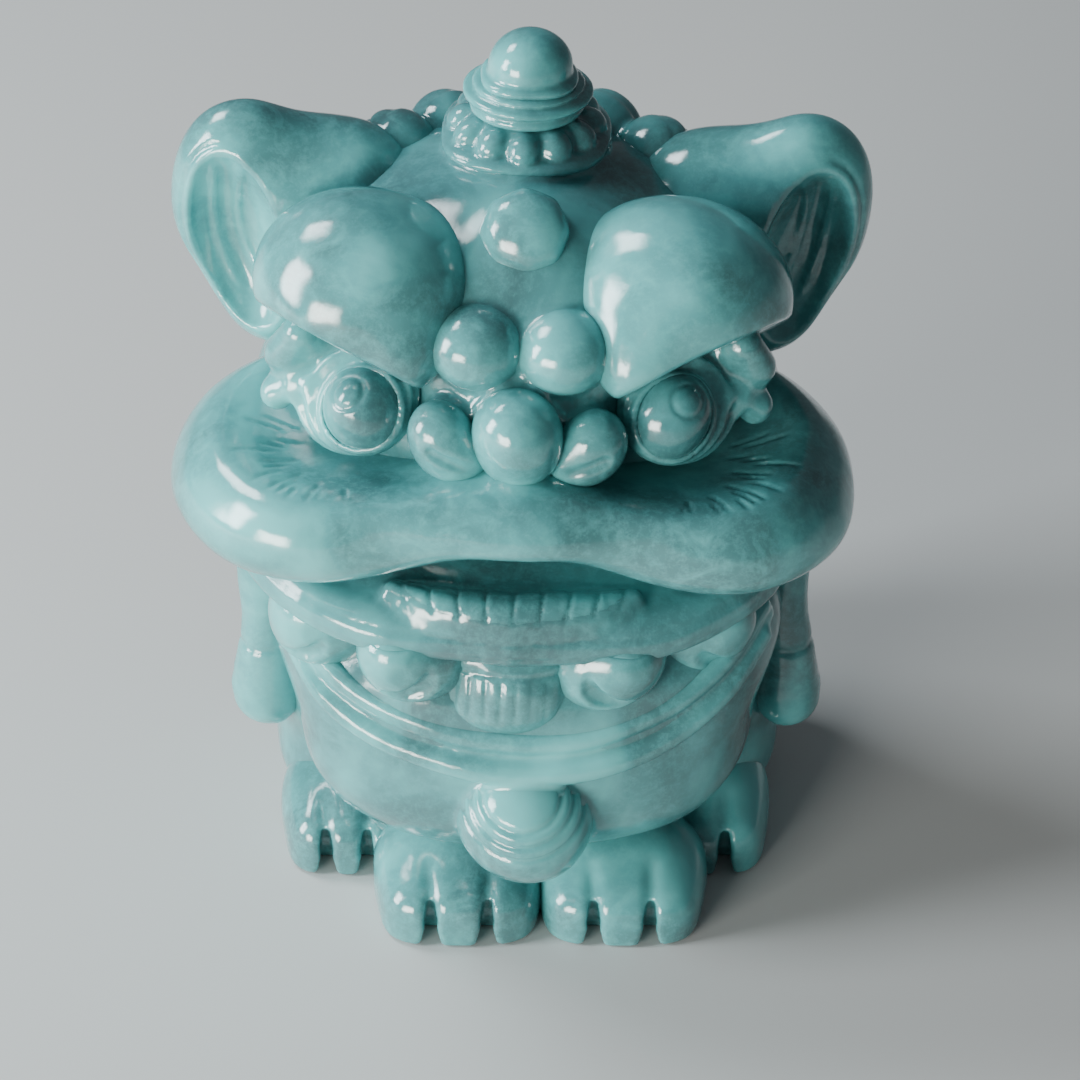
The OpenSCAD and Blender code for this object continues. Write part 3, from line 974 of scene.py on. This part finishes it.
# ---------------------------------------------------------------- build


def build_head():
    add_single("head", "jade_body", head_field, BROAD, margin=0.3)
    add_single("muzzle", "jade_raised", muzzle_field, FINE, margin=0.3)
    add_pair("brow", "jade_raised", brow_field, MEDIUM, margin=0.3)
    add_pair("ear", "jade_raised", ear_field, MEDIUM, margin=0.4)
    add_pair("eye", "jade_eyes", eye_field, FINE * 0.8, margin=0.2)
    add_pair("eyelid", "jade_raised", eyelid_field, FINE, margin=2.2)
    add_pair("nostril", "jade_raised", nostril_field, FINE * 0.8, margin=1.2)
    add_pair("nose_bridge", "jade_raised", bridge_field, FINE, margin=0.3)
    add_single("nose_tip", "jade_raised", nose_tip_field, FINE, margin=1.0)
    add_single("forehead_mirror", "jade_raised", mirror_field, FINE, margin=0.6)
    add_single("horn_ring", "jade_body", ring_field, FINE * 0.9, margin=0.5)
    add_single("horn_bun", "jade_raised", bun_field, FINE * 0.9, margin=0.4)
    add_single("horn_dome", "jade_raised", dome_field, FINE * 0.9, margin=0.5)
    for node, count, half_angle in CURL_ROWS:
        add_single(node, "jade_body", curls_field(node, count, half_angle), MEDIUM, margin=0.3)


def build_mouth():
    add_single("lower_jaw", "jade_body", jaw_field, MEDIUM, margin=0.3)
    add_single("lower_teeth", "jade_raised", gum_field, FINE * 0.9, margin=0.9)
    add_single("chin_tassel", "jade_raised", tassel_field, FINE * 0.9, margin=0.3)
    for stem, turn in (("inner", 15), ("outer", 38)):
        add_pair(f"ruff_cup_{stem}", "jade_raised", cup_field(stem, turn), FINE, margin=0.3)
        add_pair(f"ruff_bead_{stem}", "jade_raised", bead_field(stem), FINE, margin=0.2)


def build_body():
    add_single("torso", "jade_body", torso_field, BROAD, False, margin=0.4)
    add_single("chest", "jade_body", chest_field, BROAD, False, margin=0.4)
    add_single("collar", "jade_raised", collar_field, MEDIUM, False, margin=0.7)
    add_single("bell", "jade_raised", bell_field, FINE * 0.9, False, margin=0.4)
    add_pair("front_paw", "jade_raised", paw_field("front_paw_left", 1.2), MEDIUM, False, margin=0.4)
    add_pair("hind_paw", "jade_raised", paw_field("hind_paw_left", 0.9), MEDIUM, False, margin=0.4)
    add_pair("haunch", "jade_body", haunch_field, BROAD, False, margin=0.4)
    add_single("spine_balls", "jade_raised", spine_field, MEDIUM, False, margin=0.4)
    add_single("tail", "jade_raised", tail_field, MEDIUM, False, margin=0.4)
    add_pair("cheek_tassel", "jade_raised", cheek_tassel_field, MEDIUM, False, margin=0.4)


# ---------------------------------------------------------------- studio

CAMERA_TARGET = np.array([0.6, -2.0, 14.9]) * MM
CAMERA_DISTANCE = 168 * MM
CAMERA_ELEVATION = math.radians(36)
CAMERA_FIELD = math.radians(14.9)
LIT_POINT = (0, -0.002, 0.018)
COOL = (0.87, 0.96, 1.0)
WARM = (0.98, 1.0, 0.94)


def aim(thing, at, target):
    """Puts a camera or lamp at a place, looking at the target."""
    toward = [t - a for t, a in zip(target, at)]
    thing.location = at
    thing.rotation_mode = "QUATERNION"
    thing.rotation_quaternion = Vector(toward).to_track_quat("-Z", "Y")


def softbox(name, at, size, power, colour):
    """A rectangular lamp that faces the figurine."""
    data = bpy.data.lights.new(name, "AREA")
    data.shape = "RECTANGLE"
    data.size, data.size_y = size
    data.energy = power
    data.color = colour
    lamp = bpy.data.objects.new(name, data)
    bpy.context.scene.collection.objects.link(lamp)
    aim(lamp, at, LIT_POINT)


def add_camera():
    data = bpy.data.cameras.new("camera")
    data.lens = data.sensor_width / 2 / math.tan(CAMERA_FIELD / 2)
    data.clip_start, data.clip_end = 0.01, 10
    camera = bpy.data.objects.new("camera", data)
    bpy.context.scene.collection.objects.link(camera)
    back = np.array([0, -math.cos(CAMERA_ELEVATION), math.sin(CAMERA_ELEVATION)])
    aim(camera, CAMERA_TARGET + CAMERA_DISTANCE * back, CAMERA_TARGET)
    bpy.context.scene.camera = camera


def add_lights():
    """Two windows on the left, a softbox in front, and a dim room."""
    softbox("window_low", (-0.20, -0.05, 0.085), (0.065, 0.11), 0.66, COOL)
    softbox("window_high", (-0.125, 0.055, 0.185), (0.07, 0.07), 0.30, COOL)
    softbox("front", (-0.17, -0.23, 0.045), (0.14, 0.09), 1.1, WARM)
    world = bpy.data.worlds.new("studio")
    world.use_nodes = True
    room = world.node_tree.nodes["Background"]
    room.inputs["Color"].default_value = (0.86, 0.93, 1.0, 1)
    room.inputs["Strength"].default_value = 0.13
    bpy.context.scene.world = world


def add_floor():
    """A dull grey table just under the feet."""
    mesh = bpy.data.meshes.new("floor")
    reach = 0.6
    corner_points = [(-reach, -reach, 0), (reach, -reach, 0), (reach, reach, 0), (-reach, reach, 0)]
    mesh.from_pydata(corner_points, [], [(0, 1, 2, 3)])
    floor = bpy.data.objects.new("floor", mesh)
    floor.location.z = -0.02 * MM
    bpy.context.scene.collection.objects.link(floor)
    paint = bpy.data.materials.new("floor")
    paint.use_nodes = True
    shader = paint.node_tree.nodes["Principled BSDF"]
    shader.inputs["Base Color"].default_value = (0.62, 0.61, 0.60, 1)
    shader.inputs["Roughness"].default_value = 0.7
    mesh.materials.append(paint)


build_head()
build_mouth()
build_body()
add_camera()
add_lights()
add_floor()
